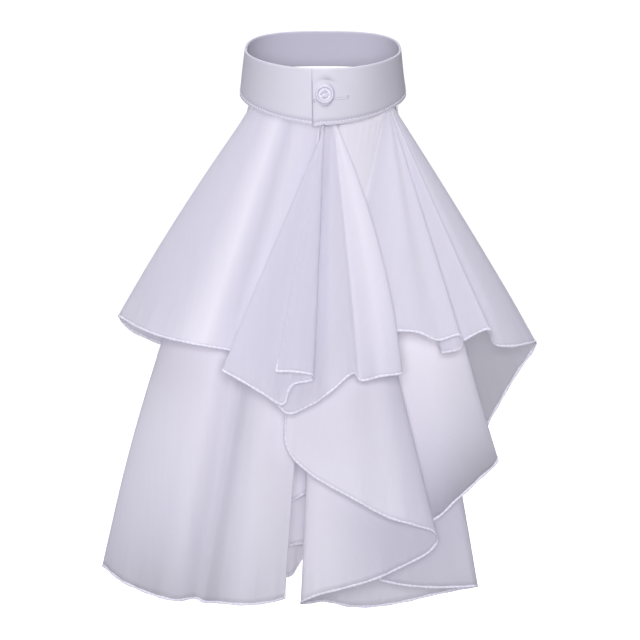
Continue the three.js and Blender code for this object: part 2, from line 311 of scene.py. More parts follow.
def stripes(tree: Tree, place: Socket, pitch: float, way: str, **more: float) -> Socket:
    """Returns the socket of waves a pitch in millimetres apart, or 1.15 pitches on the diagonal.

    Args:
        tree: the node tree.
        place: coordinates in metres.
        pitch: distance from wave to wave.
        way: the bands' direction.
        more: the texture's other inputs.

    Returns:
        The waves' height, from 0 to 1.
    """
    # The texture has 20 / (2 pi) waves to a unit
    links = {"Vector": place, "Scale": 1000 * math.pi / 10 / pitch, **more}
    return add(tree, "TexWave", links, bands_direction=way).outputs["Fac"]


def empty_material(name: str) -> tuple[Material, Tree]:
    """Makes a material with no nodes and returns it with its tree."""
    material = bpy.data.materials.new(name)
    material.use_nodes = True
    material.node_tree.nodes.clear()
    return material, material.node_tree


@dataclass(frozen=True)
class Chiffon:
    """Polyester chiffon, plain woven from hard-twisted yarn: matt, slightly crinkled and see-through."""

    name: str = "polyester_chiffon"
    colour: str = "#f9f8fc"
    shade: str = "#f5f4fa"
    # Warm tint of painted light, for folds drawn brighter
    painted_light_tint: str = "#fbf8fa"
    crepe: float = 1.1
    weave: float = 1.18376
    yarn_width: float = 2.4
    yarn_length: float = 90.0
    through: float = 0.52
    through_painted_bright: float = 0.2
    open_share: float = 0.2
    open_painted_bright: float = 0.04

    def material(self) -> Material:
        """Returns the finish: crepe and threads on the cloth's own coordinates, lit through from behind."""
        material, tree = empty_material(self.name)
        uv = add(tree, "UVMap", uv_map="cloth").outputs["UV"]
        # Twisted yarn pulls the cloth into grains of about a millimetre, seen as a soft dry surface
        crepe = add(tree, "TexNoise", {"Vector": uv, "Scale": 1000 / self.crepe, "Detail": 3.0})
        grains = (1000 / self.yarn_width, 1000 / self.yarn_length, 1.0)
        streaks = add(tree, "Mapping", {"Vector": uv, "Scale": grains})
        yarn = add(tree, "TexNoise", {"Vector": streaks.outputs["Vector"], "Scale": 1.0, "Detail": 2.0})
        # Threads are drawn over a millimetre apart: the real quarter of a millimetre wouldn't show
        warp, weft = (stripes(tree, uv, self.weave, way, Distortion=0.3) for way in "XY")
        cloth = maths(tree, "MAXIMUM", warp, weft)
        tint = add(tree, "MapRange", {"Value": yarn.outputs["Fac"], "From Min": 0.3, "From Max": 0.7})
        colour = blend(tree, tint.outputs["Result"], self.shade, self.colour)
        # Painted light and shade: where the attribute is high the cloth is drawn warmer and less
        # see-through, so brighter, and where it is low more see-through, so darker. Its values were set
        # so that the folds have the photograph's tones.
        painted_shading = add(tree, "Attribute", attribute_name="painted_shading").outputs["Fac"]
        painted_colour = blend(tree, painted_shading, colour, self.painted_light_tint)
        through, gaps = (
            add(tree, "MapRange", {"Value": painted_shading, "To Min": plain, "To Max": at_painted_bright}, clamp=False)
            for plain, at_painted_bright in ((self.through, self.through_painted_bright), (self.open_share, self.open_painted_bright)))
        grain = bump(tree, crepe.outputs["Fac"], 0.12, 0.0003)
        surface = add(tree, "BsdfPrincipled", {
            "Base Color": painted_colour, "Roughness": 0.72, "Specular IOR Level": 0.25, "Sheen Weight": 0.12,
            "Sheen Roughness": 0.5, "Normal": bump(tree, cloth, 0.15, 0.0001, Normal=grain)})
        behind = add(tree, "BsdfTranslucent", {"Color": linear(self.colour), "Normal": grain})
        lit = mixed(tree, through.outputs["Result"], surface, behind)
        clear = add(tree, "BsdfTransparent", {"Color": WHITE})
        sheer = mixed(tree, gaps.outputs["Result"], lit, clear)
        add(tree, "OutputMaterial", {"Surface": sheer.outputs[0]})
        return material


@dataclass(frozen=True)
class Poplin:
    """Cotton poplin over a stiff interlining: close-woven, matt and smooth, with fine cross ribs."""

    name: str = "cotton_poplin"
    colour: str = "#e1dfe5"
    shade: str = "#dddbe2"
    # Painted shade colour of creases, the inner face and the band's sides
    crease: str = "#a9a6b8"
    rib: float = 0.98646
    unevenness: float = 14.0

    def material(self) -> Material:
        """Returns the finish: fine ribs and a faint unevenness of the pressed cloth."""
        material, tree = empty_material(self.name)
        uv = add(tree, "UVMap", uv_map="cloth").outputs["UV"]
        # Ribs about a millimetre apart: real poplin's are finer, but those wouldn't show
        ribs = stripes(tree, uv, self.rib, "Y", Distortion=0.6, Detail=1.0)
        warp = stripes(tree, uv, self.rib, "X", Distortion=0.6)
        weave = maths(tree, "ADD", ribs, warp)
        pressed = add(tree, "TexNoise", {"Vector": uv, "Scale": 1000 / self.unevenness, "Detail": 3.0})
        colour = blend(tree, pressed.outputs["Fac"], self.shade, self.colour)
        # The crease colour is painted shade: in creases, finer than the soft studio light gives,
        # beside the lap, round the button, on the inner face and at both sides of the neck.
        band_painted_shade = add(tree, "Attribute", attribute_name="painted_shading").outputs["Fac"]
        swell = bump(tree, pressed.outputs["Fac"], 0.25, 0.0006)
        surface = add(tree, "BsdfPrincipled", {
            "Base Color": blend(tree, band_painted_shade, colour, self.crease), "Roughness": 0.8,
            "Specular IOR Level": 0.3, "Sheen Weight": 0.08, "Sheen Roughness": 0.6,
            "Normal": bump(tree, weave, 0.12, 0.0001, Normal=swell)})
        add(tree, "OutputMaterial", {"Surface": surface.outputs[0]})
        return material


@dataclass(frozen=True)
class SewingThread:
    """Spun polyester thread: a twisted yarn with a soft gleam along its turns."""

    name: str = "polyester_thread"
    colour: str = "#f1eff6"
    twist: float = 1.77564

    def material(self) -> Material:
        """Returns the finish: slanting turns of the yarn and a soft gleam."""
        material, tree = empty_material(self.name)
        turns = stripes(tree, add(tree, "TexCoord").outputs["Object"], self.twist, "DIAGONAL")
        surface = add(tree, "BsdfPrincipled", {
            "Base Color": linear(self.colour), "Roughness": 0.5, "Specular IOR Level": 0.4,
            "Sheen Weight": 0.2, "Normal": bump(tree, turns, 0.4, 0.00015)})
        add(tree, "OutputMaterial", {"Surface": surface.outputs[0]})
        return material


@dataclass(frozen=True)
class RolledHem:
    """Chiffon rolled on itself and oversewn: denser than the sheet, with slanting stitches."""

    name: str = "oversewn_chiffon_hem"
    colour: str = "#fbfaff"
    # Painted shade in the grooves between the oversewn stitches
    groove: str = "#efedf6"
    stitch: float = 3.74857
    slant: float = 24.0
    through: float = 0.2

    def material(self) -> Material:
        """Returns the finish: slanting oversewn stitches along the hem."""
        material, tree = empty_material(self.name)
        uv = add(tree, "UVMap", uv_map="cloth").outputs["UV"]
        turned = add(tree, "Mapping", {"Vector": uv, "Rotation": (0.0, 0.0, math.radians(self.slant))})
        sewn = stripes(tree, turned.outputs["Vector"], self.stitch, "X", Distortion=0.5, Detail=1.0)
        # The grooves between the stitches take the groove colour: painted shade
        relief = bump(tree, sewn, 0.35, 0.0003)
        surface = add(tree, "BsdfPrincipled", {
            "Base Color": blend(tree, sewn, self.groove, self.colour), "Roughness": 0.65,
            "Specular IOR Level": 0.3, "Sheen Weight": 0.12, "Normal": relief})
        behind = add(tree, "BsdfTranslucent", {"Color": linear(self.colour), "Normal": relief})
        both = mixed(tree, self.through, surface, behind)
        add(tree, "OutputMaterial", {"Surface": both.outputs[0]})
        return material


@dataclass(frozen=True)
class Resin:
    """Cast polyester resin, tumbled smooth: milky white with a clean gloss."""

    name: str = "cast_resin"
    colour: str = "#dddbe6"
    cloud: str = "#d3d1dd"
    cloud_size: float = 3.0303

    def material(self) -> Material:
        """Returns the finish: milky clouds under a glossy face."""
        material, tree = empty_material(self.name)
        place = add(tree, "TexCoord").outputs["Object"]
        clouds = add(tree, "TexNoise", {"Vector": place, "Scale": 1000 / self.cloud_size, "Detail": 3.0})
        scuff = add(tree, "MapRange", {"Value": clouds.outputs["Fac"], "To Min": 0.18, "To Max": 0.3})
        surface = add(tree, "BsdfPrincipled", {
            "Base Color": blend(tree, clouds.outputs["Fac"], self.cloud, self.colour), "IOR": 1.54,
            "Roughness": scuff.outputs["Result"], "Coat Weight": 0.3, "Coat Roughness": 0.12})
        add(tree, "OutputMaterial", {"Surface": surface.outputs[0]})
        return material


# Collar


@dataclass(frozen=True)
class Dent:
    """A dent, swelling or shade: its depth times a bell curve along the band and one up it.

    angle and spread are degrees round the neck, rise and height shares of the band's height.
    """

    depth: float
    angle: float
    spread: float
    rise: float
    height: float

    def at(self, angle: Array, rise: Array) -> Array:
        """Returns the depth at places on the band."""
        return self.depth * bell(angle, self.angle, self.spread) * bell(rise, self.rise, self.height)


@dataclass
class CollarBand:
    """Stand collar: a strip of interlined cotton round the neck that laps over itself at the front."""

    top_width: float = 120.0
    top_depth: float = 110.0
    bottom_width: float = 128.0
    bottom_depth: float = 116.0
    top_height: float = 16.6
    bottom_height: float = 17.9
    top_tilt: float = 18.0
    bottom_tilt: float = 23.9
    neck_lean: float = 4.0
    top_front_curve: float = 1.85
    bottom_front_curve: float = 1.7
    back_curve: float = 2.8
    wall: float = 2.0
    clearance: float = 0.3
    lap_end: float = -9.0
    lap_length: float = 31.0
    lap_ramp: float = 40.0
    lap_corner: float = 1.6
    lap_roll: float = 0.9
    roll_reach: float = 1.6
    crease_rise: float = 0.83
    crease: Dent = Dent(-0.6, 1.5, 7.0, 0.0, 0.03)
    crown: Dent = Dent(0.5, 1.5, 9.0, 0.09, 0.06)
    pull: Dent = Dent(-0.35, -6.0, 3.0, 0.5, 0.2)
    crease_shade: Dent = Dent(0.7, 4.0, 4.5, 0.0, 0.022)
    button_at: float = 1.6
    button_up: float = 0.55
    button_reach: float = 7.4
    inner_shade: float = 0.45
    side_shade: float = 0.3
    edge: float = 0.8
    face_rows: int = 30
    edge_rows: int = 5
    steps: int = 900
    stitch: float = 2.1
    stitch_pitch: float = 3.0
    stitch_rise: float = 2.6
    thread: float = 0.38
    buttonhole_rise: float = 19.8
    buttonhole_half: float = 0.85
    buttonhole_span: tuple[float, float, float] = (-9.0, 17.5, 0.8)

    @property
    def sweep(self) -> float:
        """Degrees that the whole strip turns through."""
        return 360.0 + self.lap_length

    @property
    def seam_rise(self) -> float:
        """Share of the band's height at which the topstitching runs."""
        return self.stitch_rise / (self.top_height + self.bottom_height)

    def point(self, angle: Array | list, up: Array | list, outward: Array | float) -> Array:
        """Places points on the collar's outside.

        The lower and upper rings are superellipses, blunt behind the neck and nearly straight-sided at the
        front: x = half width * sin^(2/n), y = half depth * cos^(2/n). Both rings tilt down toward the front,
        and a point up a share of the height lies that share of the way from one to the other.

        Args:
            angle: degrees round the neck, 0 at the front and positive to the right.
            up: share of the band's height.
            outward: distance off the band's face.

        Returns:
            Points, with x, y, z along the last axis.
        """
        angle, up = np.broadcast_arrays(np.asarray(angle, float), np.asarray(up, float))
        across, along = np.sin(np.radians(angle)), np.cos(np.radians(angle))
        front_curve = mix(self.bottom_front_curve, self.top_front_curve, up)
        blunt = np.where(along > 0, front_curve, self.back_curve)
        side = np.sign(across) * np.abs(across) ** (2 / blunt)
        front = np.sign(along) * np.abs(along) ** (2 / blunt)
        width = mix(self.bottom_width, self.top_width, up) / 2 + outward
        depth = mix(self.bottom_depth, self.top_depth, up) / 2 + outward
        low = -self.bottom_height - self.bottom_depth / 2 * math.tan(math.radians(self.bottom_tilt)) * front
        high = self.top_height - self.top_depth / 2 * math.tan(math.radians(self.top_tilt)) * front
        y = mix(self.neck_lean, -self.neck_lean, up) - depth * front
        return np.stack([width * side, y, mix(low, high, up)], axis=-1)

    def lift(self, turned: Array) -> Array:
        """How far the strip lies outward of its own under end, by the degrees turned along it."""
        left = 360.0 - turned
        return smooth(self.lap_ramp - left, 0.0, self.lap_ramp) * (self.wall + self.clearance)

    def strip(self, turned: Array) -> tuple[Array, Array, Array, Array]:
        """Runs along the strip, from the under end to the lap.

        Args:
            turned: degrees turned along the strip.

        Returns:
            The lower edge's points, the way up the band at its full height, and unit directions along it and
            out of it.
        """
        angle = self.lap_end + self.lap_length - turned
        lift = self.lift(turned)
        base = self.point(angle, np.zeros_like(angle), lift)
        last = smooth(turned, self.sweep - self.lap_length / 4, self.sweep)
        base[:, 2] -= self.lap_corner * last
        up = self.point(angle, np.ones_like(angle), lift) - base
        half = np.full_like(angle, 0.5)
        along = unit(self.point(angle - 1, half, lift) - self.point(angle + 1, half, lift))
        out = unit(np.cross(unit(up), along))
        return base, up, along, out

    def puckers(self, turned: Array, rise: Array) -> Array:
        """Small dents of the sewn cloth, outward positive.

        The sum of a crease above the button with a crown over it, a dent left of the button, the lap's end
        rolled outward over a groove and a ridge pressed into the layer below, a furrow along the
        topstitching with short puckers and a slow wave of the pressed band.

        Args:
            turned: degrees turned along the strip.
            rise: share of the band's height.

        Returns:
            Distance off the plain band.
        """
        lapped, left, angle, under = self.places(turned)
        above = rise - self.ridge(angle)
        lap = self.crease.at(angle, above) + self.crown.at(angle, above) + self.pull.at(angle, rise)
        lap = lap + self.lap_roll * bell(left, 0.0, self.roll_reach) * (1 - 0.6 * rise)
        groove = 0.3 * bell(under, 2.4, 0.7) - bell(under, 0.0, 0.7)
        sewn = 0.16 * np.sin(angle * 2.7) * bell(rise, 0.0, 0.12) - 0.3 * bell(rise, self.seam_rise, 0.035)
        wave = 0.25 * np.sin(np.radians(angle) * 3 + 0.6) * np.sin(np.pi * rise)
        return lap * lapped + groove * (1 - 0.5 * rise) + sewn + wave

    def places(self, turned: Array) -> tuple[Array, Array, Array, Array]:
        """Tells where on the lap the strip is.

        Args:
            turned: degrees turned along the strip.

        Returns:
            How far it has become the lap, from 0 to 1, the degrees left to the lap's end, the degrees round
            the neck, and the degrees past the lap's end on the layer below.
        """
        left = self.sweep - turned
        return smooth(turned, 354.0, 366.0), left, self.lap_end + left, turned - self.lap_length

    def painted_crease_shade(self, turned: Array, rise: Array) -> Array:
        """Painted shade of the band's creases and recesses, from 0 to 1.

        The largest of four bell curves of painted shade: beside the lap's end, along the topstitching, in
        the crease above the button and round the button, where it is strongest at the lower right.

        Args:
            turned: degrees turned along the strip.
            rise: share of the band's height.

        Returns:
            The painted shade.
        """
        lapped, left, angle, under = self.places(turned)
        # Painted shadow beside the lap's end
        beside = bell(under, 0.0, 0.75) + 0.8 * bell(left, 0.0, 0.45) * lapped
        beside = beside * (1 - 0.75 * smooth(rise, 0.72, 0.88))
        # Painted shade along the topstitching
        sewn = 0.55 * bell(rise, self.seam_rise, 0.03) * smooth(under, -1.0, 1.0)
        # Painted shade in the crease above the button
        fold = self.crease_shade.at(angle, rise - self.ridge(angle))
        # At the front a degree round the neck is about a millimetre
        along, up = angle - self.button_at, (rise - self.button_up) * (self.top_height + self.bottom_height)
        reach = np.hypot(along, up)
        turn = (along - 0.8 * up) / np.maximum(reach, 0.1)
        # Painted shadow round the button, darkest at its lower right
        ring = (0.45 + 0.4 * turn) * bell(reach, self.button_reach, 0.75)
        depths = np.broadcast_arrays(beside, sewn, fold * lapped, ring * lapped)
        return np.clip(np.max(depths, axis=0), 0.0, 1.0)

    def ridge(self, angle: Array) -> Array:
        """Share of the band's height at which the crease above the button runs."""
        return self.crease_rise + 0.0045 * angle - 0.0011 * angle**2

    def build(self) -> Piece:
        """Returns the band: its section, flat with rounded edges, is carried along the strip."""
        turned = np.linspace(0.0, self.sweep, self.steps)
        base, up, _, out = self.strip(turned)
        height = np.linalg.norm(up, axis=1)
        tall = unit(up)
        face = np.linspace(0.0, 1.0, self.face_rows)
        bend = np.linspace(0.0, np.pi, self.edge_rows + 2)[1:-1]
        # Section going up the outer face, over the top edge, down the inner face and under the lower edge.
        # Each row of it is a share of the height, a rise beyond it and a depth into the wall.
        half = self.wall / 2
        rows = np.concatenate([
            np.stack([face, self.edge * (1 - 2 * face), 0 * face], axis=1),
            np.stack([1 + 0 * bend, self.edge * (np.sin(bend) - 1), half - half * np.cos(bend)], axis=1),
            np.stack([face[::-1], self.edge * (1 - 2 * face[::-1]), 0 * face + self.wall], axis=1),
            np.stack([0 * bend, self.edge * (1 - np.sin(bend)), half + half * np.cos(bend)], axis=1),
        ])
        share, beyond, depth = rows.T
        # The dents are those of the outer face, and fade round the edges
        swell = self.puckers(turned[:, None], share[None, :]) * (1 - depth / self.wall)
        rise = share[None, :] * height[:, None] + beyond[None, :]
        points = base[:, None] + tall[:, None] * rise[..., None]
        points = points + out[:, None] * (swell - depth[None, :])[..., None]
        ring = len(rows)
        fold = np.arange(ring // 2 - 1)
        cap = np.stack([fold, fold + 1, ring - 2 - fold, ring - 1 - fold], axis=1)
        last = (self.steps - 1) * ring
        caps = np.concatenate([cap[:, ::-1], cap + last])
        length = run_length(base)
        uv = np.stack(np.broadcast_arrays(length[:, None], rise - depth[None, :]), axis=-1) * MM
        faces = np.concatenate([grid_faces(self.steps, ring, wrap=True), caps])
        # Painted shade, its amount judged: the inner face, and the band at both sides of the neck, is drawn
        # a little darker
        angle = np.radians(self.lap_end + self.lap_length - turned)[:, None]
        shade = self.painted_crease_shade(turned[:, None], share[None, :]) * (1 - depth / self.wall)
        shade = np.maximum(shade, self.inner_shade * depth / self.wall)
        shade = np.maximum(shade, self.side_shade * np.sin(angle) ** 4)
        return make_object("collar_band_cloth", points, faces, uv, shade)

    def on_face(self, turned: Array, rise: Array) -> tuple[Array, Array, Array, Array]:
        """Points on the band's outer face, a rise in millimetres above its lower edge.

        Args:
            turned: degrees turned along the strip.
            rise: millimetres up from the lower edge.

        Returns:
            The points, and unit directions along, up and out.
        """
        base, up, along, out = self.strip(turned)
        height = np.linalg.norm(up, axis=1)
        swell = self.puckers(turned, rise / height)
        points = base + unit(up) * rise[:, None] + out * swell[:, None]
        return points, along, unit(up), out

    def topstitch(self) -> Piece:
        """Returns the line of stitches along the lower edge, as far as it shows."""
        turned = np.linspace(self.lap_length + 2.0, self.sweep - 3.0, 2000)
        points, *_ = self.on_face(turned, np.full_like(turned, self.stitch_rise))
        _, _, places = spaced(points, self.stitch_pitch, turned[:, None])
        turned = places[:, 0]
        points, along, _, out = self.on_face(turned, np.full_like(turned, self.stitch_rise))
        corners, faces = threads(points, along, out, self.stitch, self.thread)
        return make_object("collar_topstitching", corners, faces)

    def buttonhole(self) -> Piece:
        """Returns the buttonhole beside the button: two rows of stitches and a bar at each end."""
        front = self.lap_end + self.sweep - self.button_at
        degree = np.radians(self.bottom_depth / 2)
        start, stop, pitch = self.buttonhole_span
        reach = np.arange(start, stop, pitch)
        row = np.repeat([-self.buttonhole_half, self.buttonhole_half], len(reach))
        turned = front - np.tile(reach, 2) / degree
        points, along, up, out = self.on_face(turned, self.buttonhole_rise + row)
        corners, faces = threads(points, up, out, 1.2, self.thread * 0.6)
        bar_at = np.repeat([start - 0.5, stop + 0.5], 4)
        bar_rise = np.tile(np.linspace(-1.2, 1.2, 4), 2)
        points, along, up, out = self.on_face(front - bar_at / degree, self.buttonhole_rise + bar_rise)
        more, quads = threads(points, along, out, 1.8, self.thread * 0.8)
        return make_object(
            "buttonhole_stitches", np.concatenate([corners, more]),
            np.concatenate([faces, quads + len(corners)]))


# Flounces


@dataclass(frozen=True)
class Cut:
    """A flounce's place and folds. Each row of folds is at, layer, side, out, drop, belly.

    at: angle on the collar's lower edge in degrees. layer: place in the seam, in layer pitches, positive
    outward. The hem point is side (share of the half spread), out (share of the fold depth, toward the
    front) and drop (share of the flounce's own drop). belly: how far the fold swells sideways halfway down.
    Each row of the shading table is a fold row's number and the cloth's painted light and shade there, 0 for
    plain, over most of its drop and at the hem: higher values paint light, lower ones paint shade. These were
    set so that the folds have the photograph's tones.
    """

    name: str
    node: str
    drop: float
    phase: float
    painted_shading: tuple[tuple[float, float, float], ...]
    folds: tuple[tuple[float, ...], ...]


LEFT_UPPER = Cut("chiffon_left_upper", "flounce_left_upper", 220.0, 0.4, (
    (0, -0.2, 0.1), (1.6, 0.2, 0.4), (2.2, -0.3, 0), (3, 0.6, 0.7), (4, 0, 0)), (
    (-3.9, 0, -0.19, 0.69, 1.011, 0),
    (-14, 0.4, -0.295, 0.74, 0.989, 0),
    (-24, 0.4, -0.402, 0.7, 0.963, 0),
    (-36, 0.4, -0.531, 0.77, 0.944, 0),
    (-46, 0.4, -0.684, 0.64, 0.922, 0),
    (-54, 0.4, -0.814, 0.42, 0.891, -0.01),
    (-58.5, 0.4, -0.907, 0.18, 0.856, -0.02),
    (-60, 0.4, -0.92, 0.08, 0.853, -0.02),
    (-61.4, 0.5, -0.875, -0.04, 0.9, -0.02),
    (-62.8, 0.5, -0.74, -0.09, 0.95, 0),
    (-64.2, 0.5, -0.627, -0.08, 0.974, 0),
))

LEFT_LOWER = Cut("chiffon_left_lower", "flounce_left_lower", 400.0, 1.9, (
    (0, 0.9, 0.2), (2, 0.6, -0.1), (3.5, 0.1, -0.6), (4.3, 0, -0.5), (5.6, 0.7, -0.4), (6.8, 0.6, -0.7),
    (8, 0.5, -0.3)), (
    (-3.5, -0.6, -0.171, 0.46, 1, 0),
    (-8, -0.5, -0.244, 0.54, 1.006, 0),
    (-16, -0.4, -0.367, 0.6, 1.008, 0),
    (-24, -0.4, -0.466, 0.54, 1.006, 0),
    (-30, -0.4, -0.534, 0.44, 1.007, 0),
    (-36, -0.4, -0.565, 0.46, 1, -0.01),
    (-44, -0.4, -0.651, 0.58, 1.001, -0.03),
    (-50, -0.4, -0.768, 0.52, 0.99, -0.05),
    (-54, -0.4, -0.899, 0.34, 0.971, -0.07),
    (-56, -0.4, -0.983, 0.14, 0.95, -0.075),
    (-57, -0.5, -0.99, 0.06, 0.949, -0.075),
    (-58, -0.6, -0.912, -0.02, 0.948, -0.07),
    (-59.2, -0.6, -0.717, -0.02, 0.937, -0.04),
    (-60.4, -0.6, -0.53, 0, 0.915, -0.02),
    (-61.6, -0.6, -0.403, 0.02, 0.816, 0),
    (-62.8, -0.6, -0.303, 0.04, 0.777, 0),
))

CENTRE_FAN = Cut("chiffon_centre_fan", "flounce_centre_fan", 220.0, 3.1, (
    (0, -0.4, -0.4), (12, -0.3, -0.3), (14, 0, 0), (16, 0.6, 0), (18, 0, -0.4)), (
    (-0.4, 1.6, -0.204, 1.04, 1.027, 0),
    (0.4, 1.6, -0.117, 1.07, 1.029, 0),
    (1.2, 1.5, -0.044, 1.04, 1.04, 0),
    (1.6, 1.3, -0.048, 0.98, 1.058, 0),
    (1.9, 1.2, -0.135, 0.96, 1.075, 0),
    (2.2, 1.2, -0.174, 0.97, 1.139, 0),
    (2.5, 1.2, -0.265, 0.99, 1.101, 0),
    (2.8, 1.2, -0.361, 0.96, 1.058, 0),
    (3.2, 1, -0.441, 0.9, 1.024, 0),
    (3.7, 0.8, -0.398, 0.84, 1.03, 0),
    (4.4, 0.7, -0.267, 0.82, 1.075, 0),
    (5.4, 0.7, -0.158, 0.85, 1.172, 0),
    (6.8, 0.7, -0.079, 0.89, 1.154, 0),
    (8, 0.7, 0.03, 0.97, 1.098, 0),
    (9, 0.75, 0.135, 0.9, 1.036, 0),
    (9.4, 0.75, 0.166, 0.86, 1.061, 0.005),
    (10.4, 0.7, 0.256, 0.95, 1.045, 0.03),
    (11.4, 0.7, 0.344, 0.91, 1.037, 0.045),
    (11.8, 0.7, 0.331, 0.86, 1.033, 0.045),
    (12.2, 0.7, 0.222, 0.86, 1.013, 0.03),
))

RIGHT_UPPER = Cut("chiffon_right_upper", "flounce_right_upper", 220.0, 4.4, (
    (0, 0.7, 0.7), (3.8, 0.7, 0.7), (4.6, 0, -0.2), (6, 0.2, 0), (12, 0.1, 0), (16, 0, -0.3), (18, -1, -1),
    (21, -1, -1),
    (22.4, 0, -1), (23.4, 1.4, -1.3), (27, 1.4, -1.3)), (
    (14.5, 0.5, -0.08, 0.76, 0.93, 0),
    (24, 0.5, 0, 0.745, 0.93, 0),
    (36, 0.45, 0.06, 0.73, 0.92, 0),
    (46, 0.4, 0.09, 0.72, 0.9, 0),
    (50, 0.4, 0.044, 0.76, 0.894, 0),
    (52, 0.4, 0.162, 0.765, 0.886, 0),
    (53.2, 0.4, 0.302, 0.765, 0.893, 0),
    (54, 0.4, 0.416, 0.765, 0.9, 0),
    (54.6, 0.4, 0.5, 0.73, 0.927, 0),
    (55, 0.4, 0.602, 0.69, 0.911, 0),
    (55.3, 0.4, 0.608, 0.64, 0.953, 0),
    (55.6, 0.4, 0.525, 0.58, 0.971, 0),
    (56, 0.4, 0.615, 0.52, 0.934, 0),
    (56.5, 0.4, 0.734, 0.55, 0.892, 0),
    (57, 0.4, 0.76, 0.42, 0.946, 0),
    (57.6, 0.4, 0.842, 0.37, 0.953, 0),
    (58.4, 0.4, 0.928, 0.22, 0.945, 0.01),
    (59.4, 0.4, 0.963, 0.08, 0.944, 0.01),
    (60.1, 0.4, 0.938, -0.02, 0.987, 0),
    (60.6, 0.4, 0.867, -0.05, 1.069, 0),
    (61.1, 0.4, 0.802, -0.02, 1.156, 0),
    (61.6, 0.4, 0.736, 0.06, 1.245, 0),
    (62.1, 0.4, 0.742, 0.16, 1.291, 0),
    (62.6, 0.4, 0.78, 0.24, 1.351, 0),
    (63.1, 0.4, 0.693, 0.33, 1.417, 0),
    (63.6, 0.4, 0.589, 0.38, 1.488, 0),
    (64.1, 0.5, 0.513, 0.38, 1.543, 0),
    (64.6, 0.5, 0.41, 0.38, 1.577, 0),
    (65.1, 0.5, 0.276, 0.38, 1.605, 0),
))

RIGHT_CASCADE = Cut("chiffon_right_cascade", "flounce_right_cascade", 400.0, 5.2, (
    (0, 0.6, 0.6), (6, 0.6, 0.3), (9, -0.3, -0.6), (11, -0.2, -0.4), (14, 0.8, 0.4), (16, 0.5, 0.1),
    (17, 0, 0), (22, -0.4, -0.4)), (
    (0, 0.1, -0.15, 0.6, 0.612, 0),
    (0.6, 0.1, -0.164, 0.62, 0.646, 0),
    (1.3, 0.1, -0.168, 0.64, 0.683, 0),
    (2.2, 0.1, -0.146, 0.66, 0.722, 0),
    (4, 0.1, -0.053, 0.7, 0.761, 0),
    (6.6, 0.1, 0.118, 0.73, 0.803, 0),
    (9.4, 0.1, 0.295, 0.66, 0.844, 0),
    (11.2, 0.1, 0.402, 0.62, 0.858, 0),
    (12.2, -0.1, 0.492, 0.54, 0.873, 0),
    (12.6, -0.4, 0.506, 0.49, 0.891, 0),
    (12, -0.9, 0.475, 0.47, 0.911, 0),
    (10.6, -0.9, 0.364, 0.46, 0.938, 0),
    (8.6, -0.9, 0.231, 0.49, 0.963, 0),
    (6, -0.9, 0.097, 0.5, 0.98, 0),
    (3, -0.9, -0.022, 0.46, 0.994, 0),
    (0.4, -1.1, -0.098, 0.38, 1.01, 0),
    (0.4, -1.7, -0.081, 0.29, 1.015, 0),
    (8, -1.9, 0.009, 0.1, 1.016, 0),
    (19, -1.9, 0.123, -0.04, 1.03, 0),
    (31, -1.9, 0.237, -0.1, 1.032, 0),
    (43, -1.9, 0.374, -0.12, 1.023, 0),
    (53, -1.9, 0.555, -0.08, 1.004, 0),
    (62, -1.9, 0.666, 0.02, 0.992, 0),
    (67, -1.6, 0.7, 0.1, 0.987, 0),
    (67, -1.3, 0.68, 0.16, 0.986, 0),
    (66, -1.1, 0.599, 0.18, 0.987, 0),
    (65, -1.1, 0.481, 0.2, 0.987, 0),
    (64, -1.1, 0.369, 0.2, 0.983, 0),
    (63, -1.1, 0.256, 0.19, 0.974, 0),
))

INNER = Cut("chiffon_inner", "flounce_inner", 400.0, 0.9, (
    (0, 0.6, 0.6), (12, 0.6, 0.6)), (
    (-12, -2.6, -0.222, 0.06, 0.847, 0),
    (-7.5, -2.6, -0.145, 0.04, 0.826, 0),
    (-3, -2.6, -0.054, 0, 0.804, 0),
    (2, -2.6, 0.059, -0.06, 0.783, 0),
    (3, -2.9, 0.069, -0.14, 0.866, 0),
    (0, -3.4, -0.064, -0.17, 0.908, 0),
    (-4, -3.4, -0.146, -0.18, 0.916, 0),
    (-8, -3.5, -0.215, -0.22, 0.93, 0),
    (-8.6, -3.9, -0.211, -0.27, 0.974, 0),
    (-5, -4.2, -0.147, -0.31, 0.977, 0),
    (1, -4.2, -0.078, -0.33, 0.931, 0),
    (8, -4.2, 0.042, -0.34, 0.871, 0),
))


